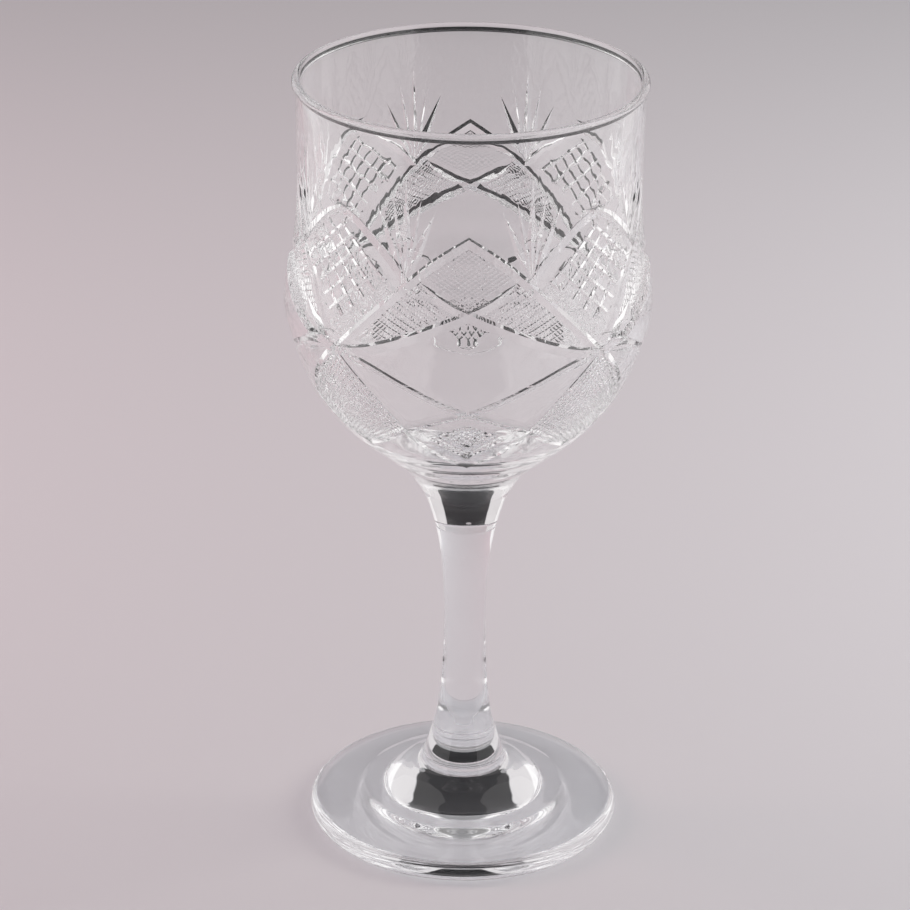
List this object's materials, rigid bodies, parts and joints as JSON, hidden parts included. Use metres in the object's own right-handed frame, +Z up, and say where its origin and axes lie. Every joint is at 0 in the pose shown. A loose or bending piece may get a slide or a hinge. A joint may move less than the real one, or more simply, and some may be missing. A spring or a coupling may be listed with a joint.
{
  "type": "stemmed wine glass",
  "caption": "Stemmed wine glass in clear glass: beaded rim, waisted bowl with wheel-cut fans, mitres and crosshatched panels, flared solid stem and round foot.",
  "frame": {"origin": "centre of the foot, on the surface that the glass stands on", "axes": "+Z up along the axis of the glass; a cut diamond faces -Y, and the cut pattern repeats every quarter turn"},
  "size_m": [0.0744, 0.0744, 0.165],
  "materials": {
    "cut_glass": "clear, polished, with wheel-cut and acid-polished grooves",
    "plain_glass": "clear, fire polished"
  },
  "bodies": {
    "root": {"bowl": "cut_glass", "stem": "plain_glass", "foot": "plain_glass"}
  },
  "joints": []
}
